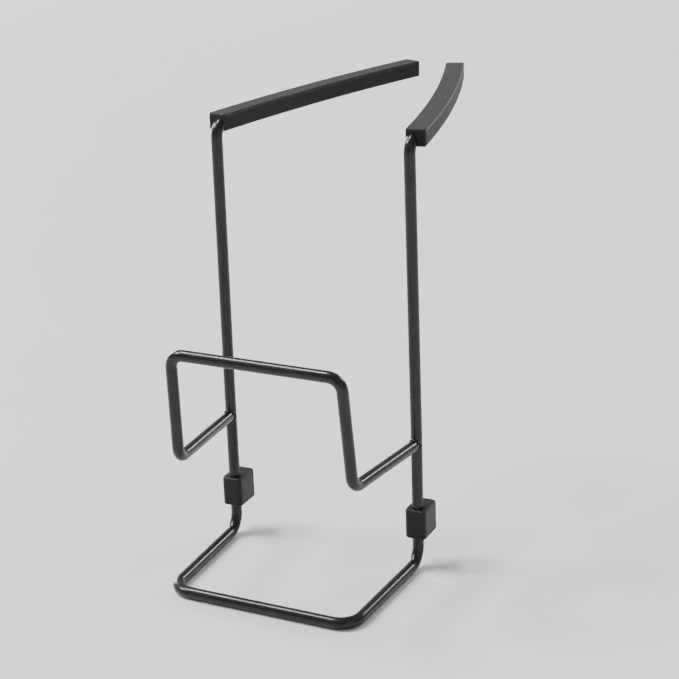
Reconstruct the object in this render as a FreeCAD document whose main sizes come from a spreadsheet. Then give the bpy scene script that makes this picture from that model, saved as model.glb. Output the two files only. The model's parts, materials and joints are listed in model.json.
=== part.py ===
"""Razor stand: a knock-down frame of bent round wire with two curved rails on top.

Millimetres, +Z up. The origin is on the floor, midway between the feet of the two posts.
+Y points to the back, the way the rails run; the base and the cradle reach to -Y.
"""
import FreeCAD, Part
import math
import os

import Sketcher
from FreeCAD import Placement, Rotation, Vector

os.makedirs("parts", exist_ok=True)
doc = FreeCAD.newDocument("razor_stand")
AXIS_Z = Vector(0, 0, 1)
SIDES = {"left": -1, "right": 1}
PARALLEL = 0.999              # least cosine between directions that count as parallel
TOLERANCE = 1e-3

# ---------------------------------------------------------------- driving dimensions
DIMENSIONS = {
    # bent wire
    "wire_dia": 5.0,
    "post_half": 45.0,        # half the distance between the posts' feet
    "post_top_half": 44.2,    # the posts lean in slightly above the cradle
    "knee_high": 66.0,        # where they start to lean
    "knee_bend": 150.0,
    # base loop
    "base_reach": 63.5,       # front bar, forward of the posts
    "base_front_half": 42.3,  # the loop narrows a little towards the front
    "base_corner": 9.0,       # bend radii are those of the wire's centreline
    "foot_bend": 8.0,
    # connectors: socket blocks between the base and the posts
    "block_wide": 9.5,
    "block_deep": 14.5,
    "block_tall": 13.5,
    "block_low": 14.5,        # underside above the floor
    "block_front": 4.0,       # front face forward of the wire's axis
    "block_corner": 2.0,      # rounding of the upright edges
    "block_round": 0.8,       # rounding of the rims of the top and bottom faces
    "web_low": 19.5,          # web that parts the lower bore from the upper socket
    "web_thick": 1.5,
    "socket_play": 0.05,      # radial play of a post in its socket, and its gap to the web
    # grub screws, from the back of each block
    "screw_dia": 4.0,
    "screw_long": 6.0,
    "screw_high": 17.0,       # screw axis above the floor
    "screw_chamfer": 0.4,
    "screw_hex": 2.0,         # hexagon socket, across flats
    "screw_hex_deep": 2.2,
    "screw_play": 0.05,
    # cradle loop
    "arm_high": 57.8,         # where the arms leave the posts
    "arm_reach": 53.8,
    "arm_rise": 1.7,
    "arm_half": 40.3,
    "bar_reach": 57.6,
    "bar_high": 108.0,
    "bar_half": 38.6,
    "cradle_bend": 6.0,
    # tops of the posts
    "top_bend": 6.0,
    "spigot_turn": 3.0,       # degrees inwards
    "spigot_long": 12.0,      # length of wire inside the rail
    "spigot_cover": 0.3,      # rail material above the wire
    # rails
    "rail_wide": 8.6,
    "rail_tall": 6.4,
    "rail_corner": 0.9,       # rounding of the rails' and pads' upright edges
    "rail_round": 0.9,        # rounding of the rim of the underside
    "rail_long": 134.0,
    "rail_radius": 776.0,
    "rail_turn": 10.2,        # degrees inwards at the front end
    "rail_front_half": 45.6,
    "rail_front": 3.0,        # front end behind the posts' axes
    "rail_top": 194.0,        # top of the pad above the floor
    "pad_thick": 1.0,
    "pad_round": 0.5,         # rounding of the rim of the top
}

sheet = doc.addObject("Spreadsheet::Sheet", "sheet")
for row, (alias, value) in enumerate(DIMENSIONS.items(), start=1):
    sheet.set(f"A{row}", alias)
    sheet.set(f"B{row}", str(value))
    sheet.setAlias(f"B{row}", alias)
doc.recompute()


def size(alias):
    return float(sheet.get(alias))


def bind(obj, **expressions):
    for prop, expression in expressions.items():
        obj.setExpression(prop, expression)


def tool(kind, name):
    """A document object that only helps to make a sub-part."""
    return doc.addObject(kind, name)


# ---------------------------------------------------------------- helpers
def bent_path(name, corners, radii):
    """A path of straight runs through corners, with a tangent arc of the given radius at each inner one."""
    edges, start = [], corners[0]
    for before, corner, after, radius in zip(corners, corners[1:], corners[2:], radii):
        into, out = (corner - before).normalize(), (after - corner).normalize()
        half_turn = into.getAngle(out) / 2
        setback = radius * math.tan(half_turn)
        first, last = corner - into * setback, corner + out * setback
        inwards = (out - into).normalize()
        middle = corner + inwards * (radius / math.cos(half_turn) - radius)
        edges += [Part.LineSegment(start, first).toShape(), Part.Arc(first, middle, last).toShape()]
        start = last
    edges.append(Part.LineSegment(start, corners[-1]).toShape())
    path = tool("Part::Feature", name)
    path.Shape = Part.Wire(edges)
    return path


def swept_wire(name, corners, radii):
    """Round wire along a bent path."""
    path = bent_path(name + "_path", corners, radii)
    section = tool("Part::Circle", name + "_section")
    bind(section, Radius="sheet.wire_dia / 2")
    along = (corners[1] - corners[0]).normalize()
    section.Placement = Placement(corners[0], Rotation(AXIS_Z, along))
    wire = doc.addObject("Part::Sweep", name)
    wire.Sections, wire.Spine = [section], (path, [f"Edge{n + 1}" for n in range(len(path.Shape.Edges))])
    wire.Solid, wire.Frenet = True, False
    doc.recompute()
    return wire


def cut(name, base, cutter):
    result = doc.addObject("Part::Cut", name)
    result.Base, result.Tool = base, cutter
    return result


def fuse(name, shapes):
    result = doc.addObject("Part::MultiFuse", name)
    result.Shapes = shapes
    return result


def origin_plane(body, role):
    return next(f for f in body.Origin.OriginFeatures if f.Role == role)


def new_sketch(body, name, plane, lift="0"):
    """A sketch on one of the body's own origin planes, moved along that plane's normal by lift."""
    sketch = body.newObject("Sketcher::SketchObject", name)
    sketch.AttachmentSupport = [(origin_plane(body, plane), "")]
    sketch.MapMode = "FlatFace"
    sketch.setExpression("AttachmentOffset.Base.z", lift)
    return sketch


def sketch_circle(sketch, radius):
    """A circle on the sketch's origin, its radius an expression."""
    sketch.addGeometry(Part.Circle(Vector(0, 0, 0), AXIS_Z, 1.0), False)
    sketch.addConstraint(Sketcher.Constraint("Coincident", 0, 3, -1, 1))
    index = sketch.addConstraint(Sketcher.Constraint("Radius", 0, 1.0))
    sketch.setExpression(f"Constraints[{index}]", radius)


def sketch_rectangle(sketch, left, right, low, high):
    """A rectangle whose sides stand where four expressions say; it is first drawn as a small square."""
    corners = [Vector(-1, -1), Vector(1, -1), Vector(1, 1), Vector(-1, 1)]
    for here, there in zip(corners, corners[1:] + corners[:1]):
        sketch.addGeometry(Part.LineSegment(here, there), False)
    for line in range(4):
        sketch.addConstraint(Sketcher.Constraint("Coincident", line, 2, (line + 1) % 4, 1))
    for line, direction in enumerate(("Horizontal", "Vertical", "Horizontal", "Vertical")):
        sketch.addConstraint(Sketcher.Constraint(direction, line))
    for line, expression in ((3, left), (1, right)):
        index = sketch.addConstraint(Sketcher.Constraint("DistanceX", -1, 1, line, 1, corners[line].x))
        sketch.setExpression(f"Constraints[{index}]", expression)
    for line, expression in ((0, low), (2, high)):
        index = sketch.addConstraint(Sketcher.Constraint("DistanceY", -1, 1, line, 1, corners[line].y))
        sketch.setExpression(f"Constraints[{index}]", expression)


def fillet(body, name, base, edges, radius):
    """Rounds the given edges (or all edges of the given faces) of a body's feature."""
    feature = body.newObject("PartDesign::Fillet", name)
    feature.Base = (base, edges)
    bind(feature, Radius=radius)
    doc.recompute()
    return feature


def upright_edges(shape):
    """Names of the straight edges that run along Z."""
    return [f"Edge{n + 1}" for n, edge in enumerate(shape.Edges)
            if abs(edge.tangentAt(edge.FirstParameter).z) > PARALLEL]


def level_faces(shape):
    """Names of the faces that face straight up or down."""
    return [f"Face{n + 1}" for n, face in enumerate(shape.Faces) if abs(face.normalAt(0, 0).z) > PARALLEL]


def rim_edges(shape, level):
    """Names of the edges that lie at one height."""
    return [f"Edge{n + 1}" for n, edge in enumerate(shape.Edges)
            if max(abs(vertex.Z - level) for vertex in edge.Vertexes) < TOLERANCE]


def pocket(body, name, sketch, depth, inwards):
    """A pocket that is checked to have taken material away."""
    before = body.Shape.Volume
    feature = body.newObject("PartDesign::Pocket", name)
    feature.Profile = sketch
    feature.Reversed = inwards
    bind(feature, Length=depth)
    doc.recompute()
    assert body.Shape.Volume < before - TOLERANCE, name + " cuts nothing"
    return feature


# ---------------------------------------------------------------- wires
def make_base_wire():
    axis_z = size("wire_dia") / 2
    post, front_half, front = size("post_half"), size("base_front_half"), -size("base_reach")
    corners = [Vector(-post, 0, size("web_low")), Vector(-post, 0, axis_z),
               Vector(-front_half, front, axis_z), Vector(front_half, front, axis_z),
               Vector(post, 0, axis_z), Vector(post, 0, size("web_low"))]
    foot, corner = size("foot_bend"), size("base_corner")
    return swept_wire("base_wire", corners, [foot, corner, corner, foot])


def spigot_height():
    return size("rail_top") - size("pad_thick") - size("spigot_cover") - size("wire_dia") / 2


def spigot_direction(side):
    turn = math.radians(size("spigot_turn"))
    return Vector(-side * math.sin(turn), math.cos(turn), 0)


def make_upright(name, side):
    """One post: straight up from its socket past the cradle, leaning in a little, then back into the rail."""
    foot_z = size("web_low") + size("web_thick") + size("socket_play")
    foot = Vector(side * size("post_half"), 0, foot_z)
    knee = Vector(foot.x, 0, size("knee_high"))
    top = Vector(side * size("post_top_half"), 0, spigot_height())
    reach = (size("rail_front") + size("spigot_long")) / math.cos(math.radians(size("spigot_turn")))
    end = top + spigot_direction(side) * reach
    return swept_wire(name, [foot, knee, top, end], [size("knee_bend"), size("top_bend")])


def make_cradle():
    """The front loop; the ends of its arms are coped to sit on the posts."""
    ends = []
    for side in SIDES.values():
        ends.append([Vector(side * size("post_half"), 0, size("arm_high")),
                     Vector(side * size("arm_half"), -size("arm_reach"), size("arm_high") + size("arm_rise")),
                     Vector(side * size("bar_half"), -size("bar_reach"), size("bar_high"))])
    loop = swept_wire("cradle_loop", ends[0] + ends[1][::-1], [size("cradle_bend")] * 4)
    copes = []
    for label, side in SIDES.items():
        cope = tool("Part::Cylinder", label + "_cope")
        bind(cope, Radius="sheet.wire_dia / 2", Height="sheet.wire_dia * 4")
        cope.Placement.Base = Vector(side * size("post_half"), 0, size("arm_high") - 2 * size("wire_dia"))
        copes.append(cope)
    return cut("cradle_wire", loop, fuse("copes", copes))


# ---------------------------------------------------------------- connectors
def make_connector(name, side):
    """A moulded block: bore for the base wire below, web, socket for the post above, screw hole behind."""
    body = doc.addObject("PartDesign::Body", name)
    outline = new_sketch(body, name + "_outline", "XY_Plane")
    sketch_rectangle(outline, "-sheet.block_wide / 2", "sheet.block_wide / 2",
                     "-sheet.block_front", "sheet.block_deep - sheet.block_front")
    block = body.newObject("PartDesign::Pad", name + "_block")
    block.Profile = outline
    bind(block, Length="sheet.block_tall")
    doc.recompute()
    corners = fillet(body, name + "_corners", block, upright_edges(block.Shape), "sheet.block_corner")
    fillet(body, name + "_rims", corners, level_faces(corners.Shape), "sheet.block_round")
    lower = new_sketch(body, name + "_lower_circle", "XY_Plane")
    sketch_circle(lower, "sheet.wire_dia / 2")
    pocket(body, name + "_lower_bore", lower, "sheet.web_low - sheet.block_low", inwards=True)
    upper = new_sketch(body, name + "_upper_circle", "XY_Plane", "sheet.block_tall")
    sketch_circle(upper, "sheet.wire_dia / 2 + sheet.socket_play")
    pocket(body, name + "_socket", upper,
           "sheet.block_low + sheet.block_tall - sheet.web_low - sheet.web_thick", inwards=False)
    # this plane's normal points to -Y, so the lift to the back face is negative;
    # the hole ends inside the wire's bore
    hole = new_sketch(body, name + "_screw_circle", "XZ_Plane", "sheet.block_front - sheet.block_deep")
    sketch_circle(hole, "sheet.screw_dia / 2")
    hole.setExpression("AttachmentOffset.Base.y", "sheet.screw_high - sheet.block_low")
    pocket(body, name + "_screw_hole", hole, "sheet.block_deep - sheet.block_front - sheet.wire_dia / 4",
           inwards=True)
    body.Placement.Base = Vector(side * size("post_half"), 0, size("block_low"))
    return body


def make_grub_screw(name, side):
    """A set screw with a hexagon socket, its tip against the base wire."""
    shank = tool("Part::Cylinder", name + "_shank")
    bind(shank, Radius="sheet.screw_dia / 2 - sheet.screw_play", Height="sheet.screw_long")
    doc.recompute()
    chamfered = tool("Part::Chamfer", name + "_chamfered")
    chamfered.Base = shank
    rims = [n + 1 for n, e in enumerate(shank.Shape.Edges) if isinstance(e.Curve, Part.Circle)]
    chamfered.Edges = [(rim, size("screw_chamfer"), size("screw_chamfer")) for rim in rims]
    socket = tool("Part::Prism", name + "_hexagon")
    socket.Polygon = 6
    bind(socket, Circumradius="sheet.screw_hex / sqrt(3)", Height="sheet.screw_hex_deep",
         **{"Placement.Base.z": "sheet.screw_long - sheet.screw_hex_deep"})
    screw = cut(name, chamfered, socket)
    tip = size("wire_dia") / 2 + size("screw_play")
    screw.Placement = Placement(Vector(side * size("post_half"), tip, size("screw_high")),
                                Rotation(AXIS_Z, Vector(0, 1, 0)))
    return screw


# ---------------------------------------------------------------- rails
def curved_bar(name, side, height):
    """A bar with rounded corners, its rectangular section revolved about a far-off axis on its inner side."""
    body = doc.addObject("PartDesign::Body", name)
    section = new_sketch(body, name + "_section", "XZ_Plane")
    sketch_rectangle(section, "-sheet.rail_wide / 2", "sheet.rail_wide / 2", "0", height)
    axis_x = -side * size("rail_radius")
    axis = Part.LineSegment(Vector(axis_x, 0, 0), Vector(axis_x, size("rail_tall"), 0))
    axis_line = section.addGeometry(axis, True)
    section.addConstraint(Sketcher.Constraint("Vertical", axis_line))
    index = section.addConstraint(Sketcher.Constraint("DistanceX", -1, 1, axis_line, 1, axis_x))
    section.setExpression(f"Constraints[{index}]", f"{-side} * sheet.rail_radius")
    bar = body.newObject("PartDesign::Revolution", name + "_bar")
    bar.Profile = section
    bar.ReferenceAxis = (section, ["Axis0"])
    bar.Reversed = side < 0
    bind(bar, Angle="sheet.rail_long / sheet.rail_radius * 180 / pi")
    doc.recompute()
    fillet(body, name + "_corners", bar, upright_edges(bar.Shape), "sheet.rail_corner")
    return body


def rail_placement(side, base_z):
    front = Vector(side * size("rail_front_half"), size("rail_front"), base_z)
    return Placement(front, Rotation(AXIS_Z, side * size("rail_turn")))


def make_rail(name, side, upright):
    """The rail, moulded over the bent top of its post."""
    bar = curved_bar(name + "_blank", side, "sheet.rail_tall")
    fillet(bar, name + "_rim", bar.Tip, rim_edges(bar.Tip.Shape, 0), "sheet.rail_round")
    bar.Placement = rail_placement(side, size("rail_top") - size("pad_thick") - size("rail_tall"))
    return cut(name, bar, upright)


def make_pad(name, side):
    """The soft strip bonded to the rail's top, flush with its sides."""
    body = curved_bar(name, side, "sheet.pad_thick")
    fillet(body, name + "_rim", body.Tip, rim_edges(body.Tip.Shape, size("pad_thick")), "sheet.pad_round")
    body.Placement = rail_placement(side, size("rail_top") - size("pad_thick"))
    return body


# ---------------------------------------------------------------- assembly
parts = [make_base_wire(), make_cradle()]
for label, side in SIDES.items():
    upright = make_upright(label + "_upright_wire", side)
    parts += [upright,
              make_connector(label + "_connector", side),
              make_grub_screw(label + "_grub_screw", side),
              make_rail(label + "_rail", side, upright),
              make_pad(label + "_rail_pad", side)]
doc.recompute()

for obj in doc.Objects:
    assert not {"Invalid", "Error"} & set(obj.State), f"{obj.Label}: {obj.State}"
for part in parts:
    assert not part.Shape.isNull() and part.Shape.isValid(), part.Label
    assert len(part.Shape.Solids) == 1, f"{part.Label}: {len(part.Shape.Solids)} solids"
for part in parts:
    part.Shape.exportStep(f"parts/{part.Label}.step")
    box = part.Shape.optimalBoundingBox()
    print(f"{part.Label:20s} {part.Shape.Volume:9.1f} mm3  x {box.XMin:7.2f} {box.XMax:7.2f}"
          f"  y {box.YMin:7.2f} {box.YMax:7.2f}  z {box.ZMin:7.2f} {box.ZMax:7.2f}")
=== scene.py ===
"""Looks of the razor stand: materials, weld beads, floor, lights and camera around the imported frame.

Metres, in the frame of the CAD model: +Z up, origin on the floor midway between the feet of the posts.
"""

import json
import math

import bmesh
import bpy
from mathutils import Matrix, Vector


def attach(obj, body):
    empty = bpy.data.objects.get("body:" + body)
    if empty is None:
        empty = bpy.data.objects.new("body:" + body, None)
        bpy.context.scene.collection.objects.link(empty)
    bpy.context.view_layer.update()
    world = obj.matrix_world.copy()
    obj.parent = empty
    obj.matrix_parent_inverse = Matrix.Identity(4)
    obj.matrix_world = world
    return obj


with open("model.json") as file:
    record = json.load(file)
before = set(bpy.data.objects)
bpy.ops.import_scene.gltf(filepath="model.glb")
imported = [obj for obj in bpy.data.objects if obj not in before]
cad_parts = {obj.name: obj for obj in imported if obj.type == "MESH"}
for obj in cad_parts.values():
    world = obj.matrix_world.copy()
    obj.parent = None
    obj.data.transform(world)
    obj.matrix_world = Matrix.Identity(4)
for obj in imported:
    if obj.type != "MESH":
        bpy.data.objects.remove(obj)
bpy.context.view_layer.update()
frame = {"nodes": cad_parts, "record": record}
MM = 0.001


# ---------------------------------------------------------------- material helpers
class Surface:
    """A principled material with procedural layers, all in object space.

    colour and roughness are its plain values; the layers of a finish may take their place.
    """

    def __init__(self, name, colour, roughness, specular=0.5, metallic=0.0):
        self.material = bpy.data.materials.new(name)
        self.material.use_nodes = True
        self.nodes = self.material.node_tree.nodes
        self.links = self.material.node_tree.links
        self.shader = self.nodes["Principled BSDF"]
        self.set_value("Base Color", (*colour, 1.0))
        self.set_value("Roughness", roughness)
        self.set_value("Specular IOR Level", specular)
        self.set_value("Metallic", metallic)
        self.coordinates = self.nodes.new("ShaderNodeTexCoord").outputs["Object"]
        self.bumps = None

    def set_value(self, socket, value):
        """A value that is the same all over the surface."""
        self.shader.inputs[socket].default_value = value

    def drive(self, socket, value):
        """A value that a layer gives."""
        self.links.new(value, self.shader.inputs[socket])

    def node(self, kind, **values):
        """A new node, with its inputs or settings as named."""
        made = self.nodes.new(kind)
        for key, value in values.items():
            if key in made.inputs:
                made.inputs[key].default_value = value
            else:
                setattr(made, key, value)
        return made

    def noise(self, size, detail):
        """Noise from 0 to 1 whose features are about size metres across."""
        noise = self.node("ShaderNodeTexNoise", Scale=1.0 / size, Detail=detail)
        self.links.new(self.coordinates, noise.inputs["Vector"])
        return noise.outputs["Fac"]

    def cells(self, size):
        """Distance to the nearest of scattered points about size metres apart."""
        cells = self.node("ShaderNodeTexVoronoi", Scale=1.0 / size)
        self.links.new(self.coordinates, cells.inputs["Vector"])
        return cells.outputs["Distance"]

    def edges(self, reach):
        """1 at sharp edges, within about reach metres, and 0 on flat and gently curved faces.

        It compares each face's own normal with one that is rounded off over reach.
        """
        bevel = self.node("ShaderNodeBevel", Radius=reach)
        geometry = self.node("ShaderNodeNewGeometry")
        agreement = self.node("ShaderNodeVectorMath", operation="DOT_PRODUCT")
        self.links.new(bevel.outputs["Normal"], agreement.inputs[0])
        self.links.new(geometry.outputs["Normal"], agreement.inputs[1])
        return self.between(agreement.outputs["Value"], low=1.0, high=0.0, starts=0.90, ends=0.995)

    def product(self, first, second):
        """One layer times another."""
        times = self.node("ShaderNodeMath", operation="MULTIPLY")
        self.links.new(first, times.inputs[0])
        self.links.new(second, times.inputs[1])
        return times.outputs["Value"]

    def between(self, value, low, high, starts=0.0, ends=1.0):
        """Goes from low to high while value goes from starts to ends, and no further."""
        scale = self.node("ShaderNodeMapRange")
        for socket, number in (("From Min", starts), ("From Max", ends), ("To Min", low), ("To Max", high)):
            scale.inputs[socket].default_value = number
        self.links.new(value, scale.inputs["Value"])
        return scale.outputs["Result"]

    def patches(self, size, detail, starts, ends):
        """From 0 to 1 in soft patches about size metres across."""
        return self.between(self.noise(size, detail), low=0.0, high=1.0, starts=starts, ends=ends)

    def blend(self, share, first, second):
        """From first to second, which are colours or the outputs of other layers."""
        mix = self.node("ShaderNodeMix", data_type="RGBA")
        self.links.new(share, mix.inputs["Factor"])
        for socket, colour in (("A", first), ("B", second)):
            if isinstance(colour, tuple):
                mix.inputs[socket].default_value = (*colour, 1.0)
            else:
                self.links.new(colour, mix.inputs[socket])
        return mix.outputs["Result"]

    def bump(self, value, depth):
        """A bump of depth metres on top of the bumps before it."""
        bump = self.node("ShaderNodeBump", Distance=depth)
        self.links.new(value, bump.inputs["Height"])
        if self.bumps:
            self.links.new(self.bumps, bump.inputs["Normal"])
        self.bumps = bump.outputs["Normal"]
        self.drive("Normal", self.bumps)


# ---------------------------------------------------------------- materials
# Colours are linear red, green and blue.
COAT = (0.0075, 0.0075, 0.0085)
COAT_DEEP = (0.006, 0.006, 0.007)
COAT_RUBBED = (0.012, 0.012, 0.013)
CONNECTOR_BLACK = (0.0085, 0.0085, 0.0095)
RAIL_BLACK = (0.007, 0.007, 0.008)
WORN_EDGE = (0.035, 0.035, 0.037)
RUBBER = (0.010, 0.010, 0.011)
RUBBER_DEEP = (0.009, 0.009, 0.010)
RUBBER_BLOOM = (0.016, 0.016, 0.017)
STEEL = (0.42, 0.42, 0.43)
FLOOR = (0.74, 0.74, 0.735)
FLOOR_DARK = (0.72, 0.72, 0.715)
FLOOR_LIGHT = (0.76, 0.76, 0.755)

MOTTLE = 1.6          # how much lighter the nylon's light patches are
GLOSS_SPREAD = 0.09   # how far its roughness goes either way


def powder_coat():
    """Satin black powder coat: soft orange peel, uneven gloss and thin rubbed patches."""
    coat = Surface("black_powder_coat", COAT, roughness=0.26, specular=0.36)
    rubbed = coat.patches(size=9 * MM, detail=4, starts=0.45, ends=0.75)
    coat.drive("Base Color", coat.blend(rubbed, COAT_DEEP, COAT_RUBBED))
    coat.drive("Roughness", coat.between(coat.noise(size=4 * MM, detail=5), low=0.16, high=0.36))
    coat.bump(coat.noise(size=1.2 * MM, detail=2), depth=0.014 * MM)
    coat.bump(coat.noise(size=0.4 * MM, detail=2), depth=0.003 * MM)
    return coat.material


def moulded(name, colour, roughness):
    """Moulded nylon with a spark-eroded grain, a slight mottle, and edges rubbed lighter in places."""
    nylon = Surface(name, colour, roughness, specular=0.2)
    rubbed = nylon.patches(size=2 * MM, detail=4, starts=0.40, ends=0.62)
    worn = nylon.product(nylon.edges(reach=1.2 * MM), rubbed)
    lighter = tuple(channel * MOTTLE for channel in colour)
    mottled = nylon.blend(nylon.patches(size=6 * MM, detail=4, starts=0.35, ends=0.7), colour, lighter)
    nylon.drive("Base Color", nylon.blend(worn, mottled, WORN_EDGE))
    gloss = nylon.noise(size=3 * MM, detail=5)
    nylon.drive("Roughness", nylon.between(gloss, roughness - GLOSS_SPREAD, roughness + GLOSS_SPREAD))
    nylon.bump(nylon.cells(size=0.4 * MM), depth=0.03 * MM)
    nylon.bump(nylon.noise(size=0.2 * MM, detail=3), depth=0.01 * MM)
    return nylon.material


def silicone():
    """Satin silicone that has picked up a little lint-grey bloom."""
    rubber = Surface("soft_silicone", RUBBER, roughness=0.46, specular=0.22)
    bloom = rubber.patches(size=4 * MM, detail=5, starts=0.35, ends=0.7)
    rubber.drive("Base Color", rubber.blend(bloom, RUBBER_DEEP, RUBBER_BLOOM))
    rubber.drive("Roughness", rubber.between(rubber.noise(size=2.5 * MM, detail=4), low=0.38, high=0.54))
    rubber.bump(rubber.noise(size=0.3 * MM, detail=3), depth=0.010 * MM)
    rubber.set_value("Sheen Weight", 0.04)
    return rubber.material


def screw_steel():
    """Bare stainless steel, unevenly bright and slightly rough."""
    steel = Surface("screw_steel", STEEL, roughness=0.32, metallic=1.0)
    steel.drive("Roughness", steel.between(steel.noise(size=0.8 * MM, detail=4), low=0.24, high=0.42))
    steel.bump(steel.noise(size=0.15 * MM, detail=3), depth=0.006 * MM)
    return steel.material


def floor_finish():
    """A pale matte sheet with faint clouds."""
    sheet = Surface("pale_floor", FLOOR, roughness=0.55, specular=0.3)
    clouds = sheet.noise(size=120 * MM, detail=4)
    sheet.drive("Base Color", sheet.blend(clouds, FLOOR_DARK, FLOOR_LIGHT))
    sheet.bump(sheet.noise(size=0.8 * MM, detail=3), depth=0.02 * MM)
    return sheet.material


FINISHES = {
    "wire": powder_coat(),
    "connector": moulded("connector_nylon", CONNECTOR_BLACK, roughness=0.46),
    "rail": moulded("rail_nylon", RAIL_BLACK, roughness=0.62),
    "pad": silicone(),
    "screw": screw_steel(),
}


def finish_nodes():
    """Gives every CAD node the detailed material of its slot."""
    slots = {row["node"]: row["material_slot"] for row in frame["record"]["subparts"]}
    for name, node in frame["nodes"].items():
        for slot in node.material_slots:
            slot.material = FINISHES[slots[name]]


# ---------------------------------------------------------------- welds
# The wires' places, as in the CAD model. An arm's line runs from its post to the cradle's lower corner.
WIRE_RADIUS = 2.5 * MM
POST_HALF = 45.0 * MM      # half the distance between the posts
ARM_HALF = 40.3 * MM       # half the distance between the arms' front ends
ARM_HIGH = 57.8 * MM       # where the arms leave the posts
ARM_REACH = 53.8 * MM      # how far forward an arm goes
ARM_RISE = 1.7 * MM        # how far it rises on the way

BEAD_RADIUS = 0.5 * MM
BEAD_OFF_ARM = 0.12 * MM   # from the arm's surface to the bead's middle
BEAD_OFF_POST = 0.26 * MM  # and from the post's surface
BEAD_STEPS = 120           # points along the bead
BEAD_SIDES = 14            # and round it
RIPPLES = ((0.09, 6), (0.05, 40))  # each one's share of the bead's radius, and its length in steps


def bead_path(post, along):
    """The closed line where an arm meets its post, a little outside both wires."""
    across = along.cross(Vector((0, 0, 1))).normalized()
    above = across.cross(along)
    from_arm = WIRE_RADIUS + BEAD_OFF_ARM
    from_post = WIRE_RADIUS + BEAD_OFF_POST
    points = []
    for step in range(BEAD_STEPS):
        turn = math.tau * step / BEAD_STEPS
        side = from_arm * math.cos(turn)
        rise = from_arm * math.sin(turn)
        out = math.sqrt(from_post ** 2 - side ** 2)
        points.append(post + along * out + across * side + above * rise)
    return points


def bead_ring(mesh, path, step, post, along):
    """The bead's vertices round one point of its line."""
    point = path[step]
    ahead = (path[(step + 1) % BEAD_STEPS] - path[step - 1]).normalized()
    outward = (point - post - along * along.dot(point - post)).normalized()
    across = ahead.cross(outward).normalized()
    outward = across.cross(ahead)
    swell = sum(share * math.sin(math.tau * step / length) for share, length in RIPPLES)
    radius = BEAD_RADIUS * (1 + swell)
    ring = []
    for corner in range(BEAD_SIDES):
        angle = math.tau * corner / BEAD_SIDES
        spoke = outward * math.cos(angle) + across * math.sin(angle)
        ring.append(mesh.verts.new(point + radius * spoke))
    return ring


def bead_mesh(name, post, along):
    """A closed, rippled tube along the bead's line."""
    path = bead_path(post, along)
    mesh = bmesh.new()
    rings = [bead_ring(mesh, path, step, post, along) for step in range(BEAD_STEPS)]
    for here, there in zip(rings, rings[1:] + rings[:1]):
        for corner in range(BEAD_SIDES):
            after = (corner + 1) % BEAD_SIDES
            mesh.faces.new((here[corner], here[after], there[after], there[corner]))
    bmesh.ops.recalc_face_normals(mesh, faces=mesh.faces)
    for face in mesh.faces:
        face.smooth = True
    data = bpy.data.meshes.new(name)
    mesh.to_mesh(data)
    mesh.free()
    data.materials.append(FINISHES["wire"])
    return data


def make_weld(name, side):
    """The weld bead round the end of one of the cradle's arms."""
    post = Vector((side * POST_HALF, 0, ARM_HIGH))
    along = Vector((side * (ARM_HALF - POST_HALF), -ARM_REACH, ARM_RISE)).normalized()
    weld = bpy.data.objects.new(name, bead_mesh(name, post, along))
    bpy.context.collection.objects.link(weld)
    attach(weld, "upper_frame")


# ---------------------------------------------------------------- stage
FLOOR_SIDE = 80.0          # so wide that its far edge lies at the horizon
STAND_MIDDLE = Vector((0, 0, 0.10))


def make_floor():
    """A level floor under the stand."""
    bpy.ops.mesh.primitive_plane_add(size=FLOOR_SIDE)
    floor = bpy.context.object
    floor.name = "floor"
    floor.data.materials.append(floor_finish())


def add_lamp(data, ray):
    """Puts a lamp in the scene that shines along ray."""
    lamp = bpy.data.objects.new(data.name, data)
    bpy.context.collection.objects.link(lamp)
    lamp.rotation_euler = ray.to_track_quat("-Z", "Y").to_euler()
    return lamp


def far_light(name, towards, breadth, strength):
    """A distant light that lies in the given direction, and lights the whole floor evenly.

    breadth is how wide it looks, in degrees.
    """
    data = bpy.data.lights.new(name, "SUN")
    data.angle = math.radians(breadth)
    data.energy = strength
    add_lamp(data, -Vector(towards))


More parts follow.
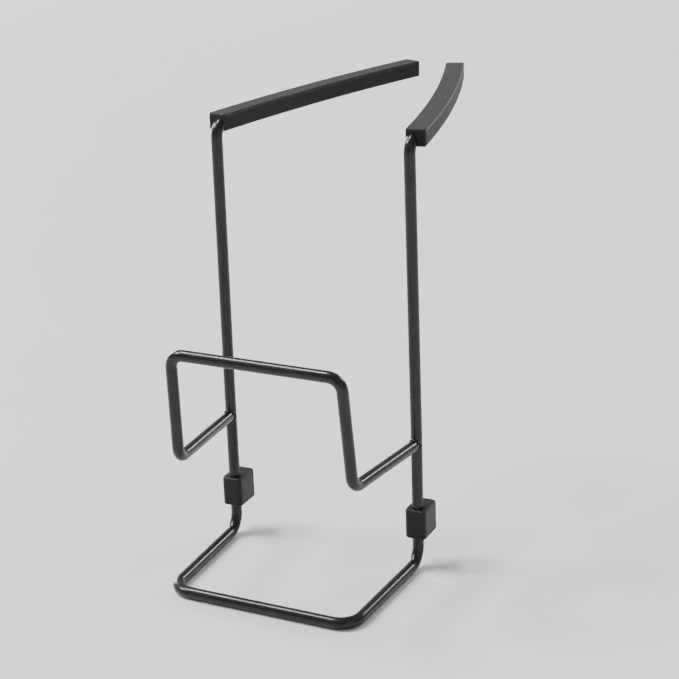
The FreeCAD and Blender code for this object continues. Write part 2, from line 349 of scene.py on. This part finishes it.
def panel_light(name, place, width, power):
    """A square panel width metres across, turned to the middle of the stand."""
    data = bpy.data.lights.new(name, "AREA")
    data.shape = "SQUARE"
    data.size = width
    data.energy = power
    add_lamp(data, STAND_MIDDLE - Vector(place)).location = place


def make_lights():
    """Three broad far lights for an even floor, and two panels for the lines of light along the wires."""
    far_light("key", towards=(-0.95, -0.25, 0.9), breadth=14, strength=2.6)
    far_light("top", towards=(-0.55, 0.05, 1.1), breadth=16, strength=2.8)
    far_light("back", towards=(0.55, 1.30, 0.63), breadth=14, strength=1.1)
    panel_light("rim", place=(-2.5, 1.75, 0.5), width=1.0, power=60)
    panel_light("fill", place=(1.2, -0.8, 0.6), width=0.7, power=1.5)


def make_world():
    """A dim, slightly cool sky."""
    world = bpy.data.worlds.new("studio")
    world.use_nodes = True
    sky = world.node_tree.nodes["Background"]
    sky.inputs["Color"].default_value = (0.92, 0.94, 0.97, 1)
    sky.inputs["Strength"].default_value = 0.55
    bpy.context.scene.world = world


def make_camera():
    """A long lens at the front right, above the rails, tilted a little to one side."""
    azimuth = math.radians(26.16)
    elevation = math.radians(20.24)
    roll = math.radians(-1.95)
    distance = 0.730
    aim = Vector((0.0161, -0.0121, 0.1057))
    level = Vector((math.cos(azimuth), math.sin(azimuth), 0))
    ahead = Vector((
        -math.sin(azimuth) * math.cos(elevation),
        math.cos(azimuth) * math.cos(elevation),
        -math.sin(elevation),
    ))
    above = level.cross(ahead)
    right = level * math.cos(roll) + above * math.sin(roll)
    up = above * math.cos(roll) - level * math.sin(roll)
    data = bpy.data.cameras.new("camera")
    data.lens = 92.8
    data.sensor_width = 36.0
    camera = bpy.data.objects.new("camera", data)
    bpy.context.collection.objects.link(camera)
    turn = Matrix((right, up, -ahead)).transposed().to_4x4()
    camera.matrix_world = Matrix.Translation(aim - ahead * distance) @ turn
    bpy.context.scene.camera = camera


make_camera()
make_floor()
make_lights()
make_world()
finish_nodes()
make_weld("left_weld", side=-1)
make_weld("right_weld", side=1)
